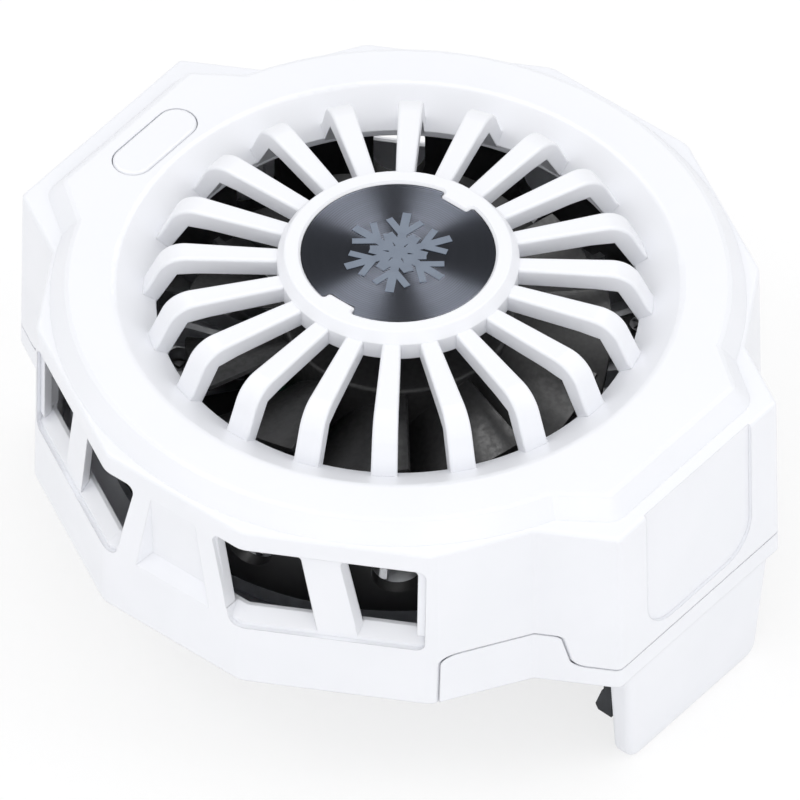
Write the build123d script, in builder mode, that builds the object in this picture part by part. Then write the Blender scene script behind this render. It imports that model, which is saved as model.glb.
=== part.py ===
from build123d import *
import os
from math import atan2, cos, degrees, hypot, radians, sin, tan

os.makedirs("parts", exist_ok=True)

# A clip-on phone cooling fan, in millimetres.
# The origin is midway between the two jaws, level with their tips. Z is up, towards the round grille.
# The phone lies under the base, with its long edges held by the jaws at each end of X.
# The jaw at +X slides out against two springs, and the jaw at -X is part of the base.

# Fits and cut margins shared by every piece
overrun = 2.0
fit_gap = 0.1
seam_gap = 0.16
slide_gap = 0.2
bond_gap = 0.02

# Heights of the outer form
jaw_drop = 13.3
wall_height = 20.6
bevel_height = 2.2
spoke_rise = 3.3
ring_rise = 1.1
base_z = jaw_drop
ledge_z = base_z + wall_height
plateau_z = ledge_z + bevel_height
spoke_top_z = plateau_z + spoke_rise
ring_top_z = spoke_top_z + ring_rise

# Outline of the drafted side wall at its foot, with an ear at each end of X
outline_radius = 36.9
near_corner_angle = 45.7
far_corner_angle = 76.2
draft_angle = 1.0
ear_tip_x = 39.0
ear_tip_half = 12.7
ear_root_x = 31.4
ear_root_half = 17.05
body_corner_round = 3.0
ear_corner_round = 1.0
ear_root_round = 0.8
wall = 2.2

# Top of the shell: ledge, bevel, plateau and bowl
ledge_round = 0.4
ledge_width = 2.0
bevel_run = 1.6
foot_radius = outline_radius - ledge_width
plateau_radius = foot_radius - bevel_run
ear_top_x = 35.27
ear_top_half = 9.9
ear_top_root_x = 26.0
ear_top_root_half = 16.6
ear_top_round = 0.8
plateau_ease = 0.3
plateau_ease_drop = 0.22
plateau_width = 4.8
bowl_radius = plateau_radius - plateau_width
bowl_depth = 2.6
bowl_round = 1.2
bowl_run = 4.25
opening_radius = bowl_radius - bowl_run
rim_z = plateau_z - bowl_depth
lip_thickness = 0.45
lip_height = 0.7
roof_thickness = 1.6
roof_z = plateau_z - roof_thickness
cavity_top_z = ledge_z - wall

# Hub ring and spokes of the grille
disc_radius = 9.79
disc_recess = 0.2
disc_thickness = 1.0
disc_z = ring_top_z - disc_recess
ring_radius = 12.15
ring_bevel = 0.75
ring_round = 0.25
ring_chamfer = 0.25
hub_depth = 1.95
hub_low_z = spoke_top_z - hub_depth
tab_width = 3.4
tab_reach = 1.0
tab_round = 0.35
spoke_count = 20
spoke_root_width = 1.85
spoke_foot_width = 2.7
spoke_depth = 2.0
spoke_shoulder_radius = 23.3
spoke_bend = 3.2
spoke_landing_radius = 25.6
spoke_landing_depth = 1.85
spoke_seat = 0.5
spoke_heel_radius = 22.1
spoke_heel_drop = 0.2
spoke_toe_z = rim_z - lip_height / 2
spoke_edge_round = 0.3

# Side windows, seen along Y, from the middle of the side outwards
frame_recess = 0.5
frame_top_z = 31.5
frame_low_z = 20.6
frame_inner_top = 4.9
frame_inner_low = 7.4
frame_outer = 25.1
frame_round = 0.9
window_top_z = 31.1
sill_z = 22.2
sill_run = 1.8
near_window_top = (5.2, 13.7)
near_window_low = (6.95, 15.1)
far_window_top = (17.1, 24.1)
far_window_low = (18.7, 24.1)
window_round = 0.6
window_wall = 1.0
window_margin = 0.5
pocket_top_z = 31.3
pocket_floor_z = 22.3
pocket_low_z = 20.7
pocket_top_half = 3.0
pocket_low_half = 4.8
pocket_depth = 1.5
pocket_ramp = 0.9

# Shallow recess in the end face at +X
end_recess = 0.35
end_recess_half = 8.3
end_recess_z = 17.3
end_recess_round = 4.0

# Seam between the shell and the two jaw blocks, seen along X
split_x = 26.2
ear_seam_z = 15.6
wing_top_z = 19.4
wing_step_low = 15.1
wing_step_top = 15.6
wing_step_round = 0.9
wing_edge_round = 0.4
wing_end_round = 1.0
block_wall = 1.9
floor_thickness = 1.4
floor_top_z = base_z + floor_thickness

# Jaws and their rubber pads
jaw_inner_x = 36.0
jaw_root_x = 38.95
jaw_tip_x = 38.2
jaw_root_half = 11.35
jaw_tip_half = 10.1
jaw_corner_round = 1.8
jaw_edge_round = 0.7
pad_low_z = 5.3
pad_lip_low_z = 5.4
pad_lip_z = 6.05
pad_lip_reach = 2.05
pad_nose = 0.35
pad_web = 1.0
pad_web_z = 8.9
pad_notch = 0.25
pad_notch_height = 0.5
pad_top_z = 12.3
pad_half = 10.4
clamp_travel = 20.0

# Slide legs, their channels and the return springs
leg_inner = 16.4
leg_outer = 20.2
leg_low_z = floor_top_z + slide_gap
leg_top_z = 17.4
leg_hold = 12.2
leg_end_x = split_x - clamp_travel - leg_hold
leg_root_x = 31.0
channel_wall = 0.5
channel_top_z = 17.2
channel_low_x = -8.0
spring_radius = 1.15
spring_wire = 0.4
spring_turns = 14
spring_anchor_x = -24.0
spring_post = 2.6
spring_post_radius = 0.65
anchor_depth = 2.0
seat_gap = 0.15

# Cooling stack: thermal pad, cold plate, thermoelectric module and heat sink
thermal_pad_length = 40.0
thermal_pad_width = 27.6
thermal_pad_proud = 0.5
plate_length = 40.6
plate_width = 28.2
plate_corner = 3.0
plate_flange_length = 45.0
plate_flange_width = 31.0
plate_flange = 0.6
module_side = 30.0
ceramic_thickness = 0.6
pellet_height = 1.3
pellet_side = 1.6
pellet_pitch = 3.6
pellet_rows = 8
gasket_length = 34.4
gasket_width = 31.2
gasket_gap = 0.1
sink_margin = 7.1
sink_radius = outline_radius - sink_margin
sink_plate = 1.7
fin_count = 40
fin_thickness = 0.8
fin_height = 2.3
fin_inner_radius = 10.0
fin_margin = 2.2
fin_outer_radius = sink_radius - fin_margin
sink_screw_x = 19.4
sink_screw_y = 11.0

# Fan frame: skirt with U notches, spider and bearing tube
skirt_thickness = 1.4
skirt_top_z = 32.3
notch_count = 12
notch_width = 5.2
notch_first_angle = 9.0
notch_low_z = 22.2
notch_top_z = 30.9
spider_z = 22.3
spider_thickness = 0.9
spider_radius = 15.4
arm_count = 4
arm_first_angle = 54.0
arm_width = 3.6
frame_post_radius = 1.9
frame_post_margin = 4.6
frame_post_ring = sink_radius - frame_post_margin
hold_rib_width = 1.2
hold_rib_count = 6
tube_radius = 3.0
tube_top_z = 29.7

# Motor and rotor
board_radius = 15.0
board_thickness = 0.8
sleeve_radius = 2.0
sleeve_wall = 0.97
shaft_gap = 0.03
shaft_end_gap = 0.3
core_outer_radius = 8.7
core_yoke_radius = 4.6
core_low_z = 25.7
core_height = 2.8
pole_count = 6
pole_width = 2.0
pole_shoe = 1.0
pole_shoe_width = 5.4
coil_inner_radius = 5.0
coil_outer_radius = 7.3
coil_build = 0.9
magnet_radius = 10.4
magnet_wall = 1.2
cup_wall = 0.6
cup_low_z = 25.1
cup_top_z = 31.7
rotor_hub_wall = 0.8
rotor_hub_low_z = 25.2
rotor_hub_top_z = 32.5
blade_count = 11
blade_margin = 2.85
blade_tip_radius = opening_radius - blade_margin
blade_mid_radius = 16.0
blade_root_chord = 6.6
blade_mid_chord = 10.4
blade_tip_chord = 13.6
blade_low_z = 25.2
blade_root_rise = 6.8
blade_tip_rise = 5.6
blade_thickness = 0.9
blade_camber = 0.9

# Power button and its switch
button_x = -31.6
button_length = 10.95
button_width = 4.15
button_proud = 0.12
button_round = 0.3
button_gap = 0.09
button_flange = 0.6
button_flange_thickness = 0.8
button_travel = 0.3
button_stem_side = 2.4
switch_x = -33.0
switch_width = 3.6
switch_length = 6.0
switch_height = 1.9
switch_floor = 0.3
plunger_radius = 0.7
plunger_reserve = 0.6
plunger_proud = button_travel + plunger_reserve
dome_thickness = 0.12
dome_rise = 0.35
chamber_half = 7.6
chamber_inner_x = 28.4
chamber_outer_x = 35.2
control_length = 20.6
control_low_x = -36.2
control_high_x = -30.6
control_z = 29.3
control_thickness = 0.8
control_post_radius = 1.3
control_post_y = 8.95

# Charging socket, under the control board in the end face at -X
socket_width = 8.94
socket_height = 3.26
socket_length = 7.0
socket_wall = 0.3
socket_inset = 0.5
socket_tongue_width = 6.7
socket_tongue = 0.7
socket_tongue_set_back = 0.8
port_margin = 0.35

# Screws
boss_margin = 5.1
side_boss_y = outline_radius - boss_margin
end_boss_x = 30.9
end_boss_y = 13.4
boss_radius = 1.75
base_screw_head = 1.25
base_screw_length = 7.0
screw_radius = 0.6
screw_head_radius = 1.1
screw_head_height = 0.6
screw_bite = 1.2
driver_slot = 0.35
driver_depth = 0.3

# Snowflake badge on the hub disc
flake_radius = 5.65
flake_stem = 0.88
flake_branch = 0.72
flake_branch_angle = 40.0
flake_depth = 0.12
flake_proud = 0.04
flake_branch_places = ((1.0, 2.05), (2.6, 2.6))

# Places worked out from the sizes above
cold_ceramic_z = floor_top_z + plate_flange
pellet_z = cold_ceramic_z + ceramic_thickness
hot_ceramic_z = pellet_z + pellet_height
sink_z = hot_ceramic_z + ceramic_thickness
sink_top_z = sink_z + sink_plate
module_height = sink_z - cold_ceramic_z
leg_middle = (leg_inner + leg_outer) / 2
leg_middle_z = (leg_low_z + leg_top_z) / 2
board_z = spider_z + spider_thickness
board_top_z = board_z + board_thickness
bore_radius = sleeve_radius - sleeve_wall
shaft_radius = bore_radius - shaft_gap
cup_radius = magnet_radius + cup_wall
hub_radius = cup_radius + rotor_hub_wall
facet_foot_y = outline_radius * sin(radians(far_corner_angle))


def drafted_inset(height):
    """How far the drafted side wall has come in at a height."""
    return (height - base_z) * tan(radians(draft_angle))


def outline_points():
    """The corners of the side wall's foot, counter-clockwise from the ear at +X."""
    near = radians(near_corner_angle)
    far = radians(far_corner_angle)
    quarter = [
        (ear_tip_x, ear_tip_half),
        (ear_root_x, ear_root_half),
        (outline_radius * cos(near), outline_radius * sin(near)),
        (outline_radius * cos(far), outline_radius * sin(far)),
    ]
    upper = quarter + [(-x, y) for x, y in reversed(quarter)]
    return upper + [(-x, -y) for x, y in upper]


def walls_block(inset, low, high):
    """The outline drawn in by inset, with its draft, as a block between two heights.

    The outermost block has rounded upright corners, and one that is drawn in has sharp ones.
    """
    with BuildPart() as block:
        if inset == 0:
            with BuildSketch(Plane.XY.offset(low)) as face:
                Polygon(*outline_points(), align=None)
                ears_from_x = (ear_root_x + ear_tip_x) / 2
                fillet([v for v in face.vertices() if abs(v.X) > ears_from_x], ear_corner_round)
                roots = [v for v in face.vertices() if abs(abs(v.X) - ear_root_x) < fit_gap]
                fillet(roots, ear_root_round)
                fillet([v for v in face.vertices() if abs(v.X) < split_x], body_corner_round)
            extrude(amount=high - low, taper=draft_angle)
        else:
            for level in (low, high):
                with BuildSketch(Plane.XY.offset(level)):
                    Polygon(*outline_points(), align=None)
                    drawn_in = inset + drafted_inset(level)
                    offset(amount=-drawn_in, kind=Kind.INTERSECTION, mode=Mode.REPLACE)
            loft(ruled=True)
    return block.part


def plank(low, high, mode=Mode.ADD):
    """A block between two opposite corners, in the part being built."""
    size = [b - a for a, b in zip(low, high)]
    middle = [(a + b) / 2 for a, b in zip(low, high)]
    with Locations(tuple(middle)):
        Box(*size, mode=mode)


def ear_top_points(reach):
    """The raised ear's four corners, from the side of the plateau to the ear at the side reach."""
    return [
        (reach * ear_top_root_x, -ear_top_root_half),
        (reach * ear_top_x, -ear_top_half),
        (reach * ear_top_x, ear_top_half),
        (reach * ear_top_root_x, ear_top_root_half),
    ]


def ear_face(side, growth, height):
    """The outline of one raised ear, grown by growth, as a sketch at a height."""
    with BuildSketch(Plane.XY.offset(height)) as face:
        Polygon(*ear_top_points(side), align=None)
        if growth != 0:
            offset(amount=growth, kind=Kind.INTERSECTION, mode=Mode.REPLACE)
        fillet([v for v in face.vertices() if abs(v.X) > ear_root_x], ear_top_round + growth)
    return face.sketch


def top_form():
    """The bevelled disc with an ear at each end, from the ledge up to the plateau.

    The edge between the bevel and the plateau is eased by a narrow flat.
    """
    ease_growth = bevel_run * plateau_ease_drop / bevel_height
    ease_z = plateau_z - plateau_ease_drop
    levels = ((bevel_run, ledge_z), (ease_growth, ease_z), (-plateau_ease, plateau_z))
    ears = [[ear_face(side, growth, z).face() for growth, z in levels] for side in (-1, 1)]
    with BuildPart() as form:
        with BuildSketch(Plane.XZ):
            with BuildLine():
                Polyline(
                    (0, cavity_top_z),
                    (foot_radius, cavity_top_z),
                    (foot_radius, ledge_z),
                    (plateau_radius + ease_growth, ease_z),
                    (plateau_radius - plateau_ease, plateau_z),
                    (0, plateau_z),
                    close=True,
                )
            make_face()
        revolve(axis=Axis.Z)
        for faces in ears:
            loft(faces, ruled=True)
    return form.part


def roof_space():
    """The hollow under the plateau and the bowl, from the top of the straight cavity."""
    with BuildPart() as space:
        with BuildSketch(Plane.XZ):
            with BuildLine():
                Polyline(
                    (0, cavity_top_z - overrun),
                    (foot_radius - wall, cavity_top_z - overrun),
                    (foot_radius - wall, cavity_top_z),
                    (plateau_radius - roof_thickness, roof_z),
                    (bowl_radius, roof_z),
                    (opening_radius + lip_thickness, rim_z - lip_height),
                    (0, rim_z - lip_height),
                    close=True,
                )
            make_face()
        revolve(axis=Axis.Z)
    return space.part


def bowl_space():
    """The bowl and the round opening at its foot."""
    with BuildPart() as space:
        with BuildSketch(Plane.XZ):
            with BuildLine():
                Polyline(
                    (0, plateau_z + overrun),
                    (bowl_radius, plateau_z + overrun),
                    (bowl_radius, plateau_z),
                    (opening_radius, rim_z),
                    (opening_radius, rim_z - lip_height - overrun),
                    (0, rim_z - lip_height - overrun),
                    close=True,
                )
            make_face()
        revolve(axis=Axis.Z)
    return space.part


def spoke():
    """One spoke along +X: flat over the opening, bent down onto the bowl, wider at its foot."""
    root_radius = ring_radius - ring_bevel
    slope_run = spoke_landing_radius - spoke_shoulder_radius
    landing_z = plateau_z - spoke_landing_depth
    with BuildPart() as bar:
        with BuildSketch(Plane.XZ) as side:
            with BuildLine():
                Polyline(
                    (root_radius, spoke_top_z),
                    (spoke_shoulder_radius, spoke_top_z),
                    (spoke_landing_radius, landing_z),
                    (spoke_landing_radius + spoke_seat, landing_z - spoke_seat),
                    (opening_radius + lip_thickness / 2, spoke_toe_z),
                    (opening_radius, spoke_toe_z),
                    (spoke_heel_radius, spoke_top_z - spoke_depth - spoke_heel_drop),
                    (spoke_heel_radius - slope_run, spoke_top_z - spoke_depth),
                    (root_radius, spoke_top_z - spoke_depth),
                    close=True,
                )
            make_face()
            shoulder = side.vertices().sort_by_distance((spoke_shoulder_radius, spoke_top_z))[0]
            fillet(shoulder, spoke_bend)
        extrude(amount=spoke_foot_width, both=True)
        with BuildSketch(Plane.XY.offset(hub_low_z - wall_height)):
            far_radius = spoke_landing_radius + spoke_seat
            Polygon(
                (root_radius, -spoke_root_width / 2),
                (far_radius, -spoke_foot_width / 2),
                (far_radius, spoke_foot_width / 2),
                (root_radius, spoke_root_width / 2),
                align=None,
            )
        extrude(amount=wall_height * 2, mode=Mode.INTERSECT)
        high = [e for e in bar.edges() if e.center().Z > landing_z and abs(e.center().Y) > bond_gap]
        top_edges = [e for e in high if abs(e.tangent_at(0).Y) < sin(radians(draft_angle * 5))]
        low_limit = spoke_top_z - spoke_depth / 2
        rounded = [e for e in top_edges if e.center().Z > low_limit and e.center().X > root_radius]
        fillet(rounded, spoke_edge_round)
    return bar.part


def disc_outline(gap):
    """The hub disc's face, with a notch at each side of Y, drawn in by gap."""
    Circle(disc_radius - gap)
    for side in (-1, 1):
        with Locations((0, side * disc_radius)):
            notch_reach = (tab_reach + gap) * 2
            Rectangle(tab_width + gap * 2, notch_reach, mode=Mode.SUBTRACT)


def slot_tool(length, width, low, high):
    """A full-round bar along Y at the button's place, for its hole, cap and flange."""
    with BuildPart() as bar:
        with BuildSketch(Plane.XY.offset(low)):
            with Locations((button_x, 0)):
                SlotOverall(length, width, rotation=90)
        extrude(amount=high - low)
    return bar.part


def hub_ring():
    """The hub of the grille: a ring with a bevelled shoulder round the disc's seat."""
    with BuildPart() as hub:
        with BuildSketch(Plane.XZ):
            with BuildLine():
                Polyline(
                    (0, hub_low_z),
                    (ring_radius, hub_low_z),
                    (ring_radius, spoke_top_z),
                    (ring_radius - ring_bevel, ring_top_z),
                    (0, ring_top_z),
                    close=True,
                )
            make_face()
        revolve(axis=Axis.Z)
        outer_edge = hub.edges().group_by(Axis.Z)[-1]
        fillet(outer_edge, ring_round)
        with BuildSketch(Plane.XY.offset(disc_z - disc_thickness)) as seat:
            disc_outline(0)
            notch_corners = seat.vertices()
            fillet(notch_corners, tab_round)
        extrude(amount=disc_thickness + overrun, mode=Mode.SUBTRACT)
        rim_edges = [e for e in hub.edges() if e.center().Z > ring_top_z - bond_gap]
        starts = [(e, e.position_at(0)) for e in rim_edges]
        inner_rim = [e for e, start in starts if hypot(start.X, start.Y) < disc_radius + fit_gap]
        chamfer(inner_rim, ring_chamfer)
    return hub.part


def side_prism(points, round_radius, square_foot=False):
    """A shape seen along Y, on the +X side, run right through the shell; a square foot stays unrounded."""
    with BuildPart() as prism:
        with BuildSketch(Plane.XZ) as face:
            Polygon(*points, align=None)
            if round_radius > 0:
                corners = face.vertices().group_by(Axis.Y)[-1] if square_foot else face.vertices()
                fillet(corners, round_radius)
        extrude(amount=facet_foot_y + overrun, both=True)
    return prism.part


def window_prisms():
    """The two windows of one quarter of the wall."""
    prisms = []
    for top, low in ((near_window_top, near_window_low), (far_window_top, far_window_low)):
        points = [(top[0], window_top_z), (top[1], window_top_z), (low[1], sill_z), (low[0], sill_z)]
        prisms.append(side_prism(points, window_round, square_foot=True))
    return prisms


def frame_prism():
    """The recessed frame round both windows."""
    points = [
        (frame_inner_top, frame_top_z),
        (frame_outer, frame_top_z),
        (frame_outer, frame_low_z),
        (frame_inner_low, frame_low_z),
    ]
    return side_prism(points, frame_round)


def rib_prism():
    """The slanted rib between the windows, down to the foot of the frame."""
    lean = (near_window_low[1] - near_window_top[1]) / (window_top_z - sill_z)
    rise = frame_top_z - window_top_z + overrun
    drop = sill_z - frame_low_z + overrun
    points = [
        (near_window_top[1] - lean * rise, window_top_z + rise),
        (far_window_top[0] - lean * rise, window_top_z + rise),
        (far_window_low[0] + lean * drop, sill_z - drop),
        (near_window_low[1] + lean * drop, sill_z - drop),
    ]
    return side_prism(points, 0)


def pocket_tool():
    """The blind tapered pocket in the middle of the side at -Y, deepest near its foot, with sloped sides."""
    lean = (pocket_low_half - pocket_top_half) / (pocket_top_z - pocket_low_z)
    with BuildPart() as tool:
        with BuildSketch(Plane.YZ):
            Polygon(
                (-facet_foot_y, pocket_low_z),
                (pocket_depth - facet_foot_y, pocket_floor_z),
                (drafted_inset(pocket_top_z) - facet_foot_y, pocket_top_z),
                (-facet_foot_y - overrun, pocket_top_z),
                (-facet_foot_y - overrun, pocket_low_z),
                align=None,
            )
        extrude(amount=pocket_low_half + overrun, both=True)
        with BuildPart(mode=Mode.INTERSECT):
            for reach in (overrun, -pocket_depth - overrun):
                low_half = pocket_low_half + lean * overrun + reach * pocket_ramp / pocket_depth
                top_half = pocket_top_half - lean * overrun + reach * pocket_ramp / pocket_depth
                with BuildSketch(Plane.XZ.offset(facet_foot_y + reach)):
                    Polygon(
                        (-low_half, pocket_low_z - overrun),
                        (low_half, pocket_low_z - overrun),
                        (top_half, pocket_top_z + overrun),
                        (-top_half, pocket_top_z + overrun),
                        align=None,
                    )
            loft(ruled=True)
    return tool.part


def end_recess_column():
    """The upright strip of the end face at +X that is set back, seen along X."""
    recess_top_z = ledge_z + overrun
    with BuildPart() as column:
        with BuildSketch(Plane.YZ) as face:
            middle_z = (end_recess_z + recess_top_z) / 2
            with Locations((0, middle_z)):
                Rectangle(end_recess_half * 2, recess_top_z - end_recess_z)
            fillet(face.vertices().group_by(Axis.Y)[0], end_recess_round)
        extrude(amount=ear_tip_x + overrun)
        plank(
            (-overrun, -ear_tip_half, base_z),
            (ear_root_x, ear_tip_half, recess_top_z),
            mode=Mode.SUBTRACT,
        )
    return column.part


def jaw_block_space(gap):
    """The space that a jaw block takes below the seam at +X, grown by gap."""
    reach = ear_tip_x + overrun
    with BuildPart() as space:
        with BuildSketch(Plane.YZ.offset(split_x - gap)) as face:
            Polygon(
                (-reach, base_z - overrun),
                (reach, base_z - overrun),
                (reach, wing_top_z),
                (wing_step_top, wing_top_z),
                (wing_step_low, ear_seam_z),
                (-wing_step_low, ear_seam_z),
                (-wing_step_top, wing_top_z),
                (-reach, wing_top_z),
                align=None,
            )
            inner = [v for v in face.vertices() if abs(v.X) < split_x]
            low_corners = [v for v in inner if v.Y < (ear_seam_z + wing_top_z) / 2]
            fillet(low_corners, wing_step_round)
            inner = [v for v in face.vertices() if abs(v.X) < split_x]
            high_corners = [v for v in inner if v.Y > wing_top_z - bond_gap]
            fillet(high_corners, wing_edge_round)
            if gap > 0:
                offset(amount=gap, mode=Mode.REPLACE)
        extrude(amount=reach - split_x + gap)
        rear = space.edges().filter_by(Axis.Y).group_by(Axis.X)[0]
        fillet(rear.group_by(Axis.Z)[-1], wing_end_round + gap)
    return space.part


def moulded_jaw():
    """The upright jaw plate at +X, from its tip up into the block that carries it."""
    root_z = floor_top_z
    with BuildPart() as jaw:
        for height, outer_x, half in ((0, jaw_tip_x, jaw_tip_half), (root_z, jaw_root_x, jaw_root_half)):
            with BuildSketch(Plane.XY.offset(height)):
                with Locations(((jaw_inner_x + outer_x) / 2, 0)):
                    Rectangle(outer_x - jaw_inner_x, half * 2)
        loft()
        tip_corners = jaw.edges().filter_by(Axis.X).group_by(Axis.Z)[0]
        fillet(tip_corners, jaw_corner_round)
        outer_edges = jaw.faces().sort_by(Axis.X)[-1].edges()
        fillet([e for e in outer_edges if e.center().Z < base_z], jaw_edge_round)
        inner_edges = jaw.faces().sort_by(Axis.X)[0].edges()
        fillet(inner_edges.sort_by(Axis.Z)[0], jaw_edge_round)
    return jaw.part


def jaw_block():
    """The drafted end block at +X under the seam, with its jaw."""
    with BuildPart() as block:
        add(outer_body)
        add(jaw_space, mode=Mode.INTERSECT)
        add(block_hollow, mode=Mode.SUBTRACT)
        add(jaw_plate)
    return block.part


def screw(length, head_radius):
    """A screw with its head's underside at the origin and its shank down along Z."""
    with BuildPart() as body:
        with Locations((0, 0, -length / 2)):
            Cylinder(screw_radius, length)
        with Locations((0, 0, screw_head_height / 2)):
            Cylinder(head_radius, screw_head_height)
        with Locations((0, 0, screw_head_height - driver_depth / 2)):
            Box(head_radius * 2 - driver_slot, driver_slot, driver_depth, mode=Mode.SUBTRACT)
            Box(driver_slot, head_radius * 2 - driver_slot, driver_depth, mode=Mode.SUBTRACT)
    return body.part


def ring(outer_radius, inner_radius, low, high, mode=Mode.ADD):
    """A plain ring about Z between two heights, in the part being built."""
    with BuildSketch(Plane.XY.offset(low)) as face:
        Circle(outer_radius)
        if inner_radius > 0:
            Circle(inner_radius, mode=Mode.SUBTRACT)
    extrude(face.sketch, amount=high - low, mode=mode)


def finish(piece, name):
    """Names a finished piece and writes it."""
    piece.part.label = name
    export_step(piece.part, "parts/" + name + ".step")


# Shapes that several pieces share
outer_body = walls_block(0, base_z, ledge_z)
jaw_space = jaw_block_space(0)
seam_space = jaw_block_space(seam_gap)
block_hollow = walls_block(block_wall, floor_top_z, wing_top_z + overrun)
jaw_plate = moulded_jaw()
end_block = jaw_block()
side_bosses = [(0, -side_boss_y), (0, side_boss_y)]
boss_places = side_bosses + [(-end_boss_x, -end_boss_y), (-end_boss_x, end_boss_y)]
control_x = (control_low_x + control_high_x) / 2
control_post_places = [(control_x, -control_post_y), (control_x, control_post_y)]
socket_z = control_z - socket_height / 2
sink_screw_places = [(x, y) for x in (-sink_screw_x, sink_screw_x) for y in (-sink_screw_y, sink_screw_y)]

# Top shell: side wall, bevelled top, bowl and spoked grille, moulded as one
inner_space = walls_block(wall, base_z - overrun, cavity_top_z)
raised_top = top_form()
under_roof = roof_space()
bowl = bowl_space()
grille_hub = hub_ring()
grille_spoke = spoke()
button_hole = slot_tool(
    button_length + button_gap * 2,
    button_width + button_gap * 2,
    cavity_top_z,
    plateau_z + overrun,
)
windows = window_prisms()
frame = frame_prism()
rib = rib_prism()
frame_back = walls_block(frame_recess, base_z - overrun, ledge_z + overrun)
side_pocket = pocket_tool()
end_strip = end_recess_column()
end_back = walls_block(end_recess, base_z - overrun, ledge_z + overrun * 2)

with BuildPart() as sill_ramp:
    with BuildSketch(Plane.XY.offset(frame_low_z)):
        Polygon(*outline_points(), align=None)
        offset(amount=-drafted_inset(frame_low_z), kind=Kind.INTERSECTION, mode=Mode.REPLACE)
    ramp_height = sill_z - frame_low_z
    extrude(amount=ramp_height, taper=degrees(atan2(sill_run, ramp_height)))

with BuildPart() as sill_tool:
    add(frame)
    plank(
        (0, -facet_foot_y - overrun, frame_low_z),
        (ear_tip_x, facet_foot_y + overrun, sill_z),
        mode=Mode.INTERSECT,
    )
    add(rib, mode=Mode.SUBTRACT)
    add(sill_ramp.part, mode=Mode.SUBTRACT)

window_back = walls_block(frame_recess + window_wall, sill_z, cavity_top_z)

with BuildPart() as window_relief:
    for side in (-1, 1):
        near_x, far_x = near_window_top[0] - window_margin, far_window_low[1] + window_margin
        low_x, high_x = sorted((side * near_x, side * far_x))
        plank((low_x, -outline_radius, sill_z), (high_x, outline_radius, cavity_top_z))
    add(window_back, mode=Mode.INTERSECT)

with BuildPart() as frame_tool:
    add(frame)
    add(frame_back, mode=Mode.SUBTRACT)

with BuildPart() as end_tool:
    add(end_strip)
    add(end_back, mode=Mode.SUBTRACT)

with BuildPart() as top_shell:
    add(outer_body)
    fillet(top_shell.edges().group_by(Axis.Z)[-1], ledge_round)
    add(raised_top)
    add(inner_space, mode=Mode.SUBTRACT)
    add(under_roof, mode=Mode.SUBTRACT)
    add(bowl, mode=Mode.SUBTRACT)
    at_plateau = top_shell.edges().filter_by(GeomType.CIRCLE).group_by(Axis.Z)[-1]
    fillet([e for e in at_plateau if abs(e.radius - bowl_radius) < fit_gap], bowl_round)
    add(grille_hub)
    with PolarLocations(0, spoke_count):
        add(grille_spoke)
    for side in (-1, 1):
        inner_x, outer_x = sorted((side * chamber_inner_x, side * chamber_outer_x))
        plank(
            (inner_x, -chamber_half, cavity_top_z - overrun),
            (outer_x, chamber_half, roof_z),
            mode=Mode.SUBTRACT,
        )
    add(button_hole, mode=Mode.SUBTRACT)
    add(window_relief.part, mode=Mode.SUBTRACT)
    add(side_pocket, mode=Mode.SUBTRACT)
    add(side_pocket.mirror(Plane.XZ), mode=Mode.SUBTRACT)
    add(end_tool.part, mode=Mode.SUBTRACT)
    for tool in [frame_tool.part, sill_tool.part] + windows:
        add(tool, mode=Mode.SUBTRACT)
        add(tool.mirror(Plane.YZ), mode=Mode.SUBTRACT)
    add(seam_space, mode=Mode.SUBTRACT)
    add(seam_space.mirror(Plane.YZ), mode=Mode.SUBTRACT)
    with Locations(*[(x, y, floor_top_z + fit_gap) for x, y in boss_places]):
        Cylinder(boss_radius, cavity_top_z - floor_top_z, align=(Align.CENTER, Align.CENTER, Align.MIN))
    boss_hole = base_screw_length + fit_gap
    with Locations(*[(x, y, floor_top_z) for x, y in boss_places]):
        Cylinder(
            screw_radius + bond_gap,
            boss_hole,
            align=(Align.CENTER, Align.CENTER, Align.MIN),
            mode=Mode.SUBTRACT,
        )
    with Locations(*[(x, y, control_z + control_thickness) for x, y in control_post_places]):
        post_height = roof_z - control_z - control_thickness
        Cylinder(control_post_radius, post_height, align=(Align.CENTER, Align.CENTER, Align.MIN))
    with Locations(*[(x, y, control_z) for x, y in control_post_places]):
        Cylinder(
            screw_radius + bond_gap,
            control_thickness + screw_bite + fit_gap,
            align=(Align.CENTER, Align.CENTER, Align.MIN),
            mode=Mode.SUBTRACT,
        )
    with PolarLocations(0, hold_rib_count, start_angle=180 / hold_rib_count):
        plank(
            (sink_radius - skirt_thickness / 2, -hold_rib_width / 2, skirt_top_z + fit_gap),
            (sink_radius, hold_rib_width / 2, roof_z + fit_gap),
        )
    with BuildSketch(Plane.YZ.offset(-ear_tip_x - overrun)):
        with Locations((0, socket_z)):
            SlotOverall(socket_width + port_margin * 2, socket_height + port_margin * 2)
    extrude(amount=overrun * 2 + wall, mode=Mode.SUBTRACT)
finish(top_shell, "top_shell")

# Base shell: floor, guide channels, spring anchors and the fixed end block at -X
floor_slab = walls_block(wall + fit_gap, base_z, floor_top_z)
fixed_block = end_block.mirror(Plane.YZ)

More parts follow.
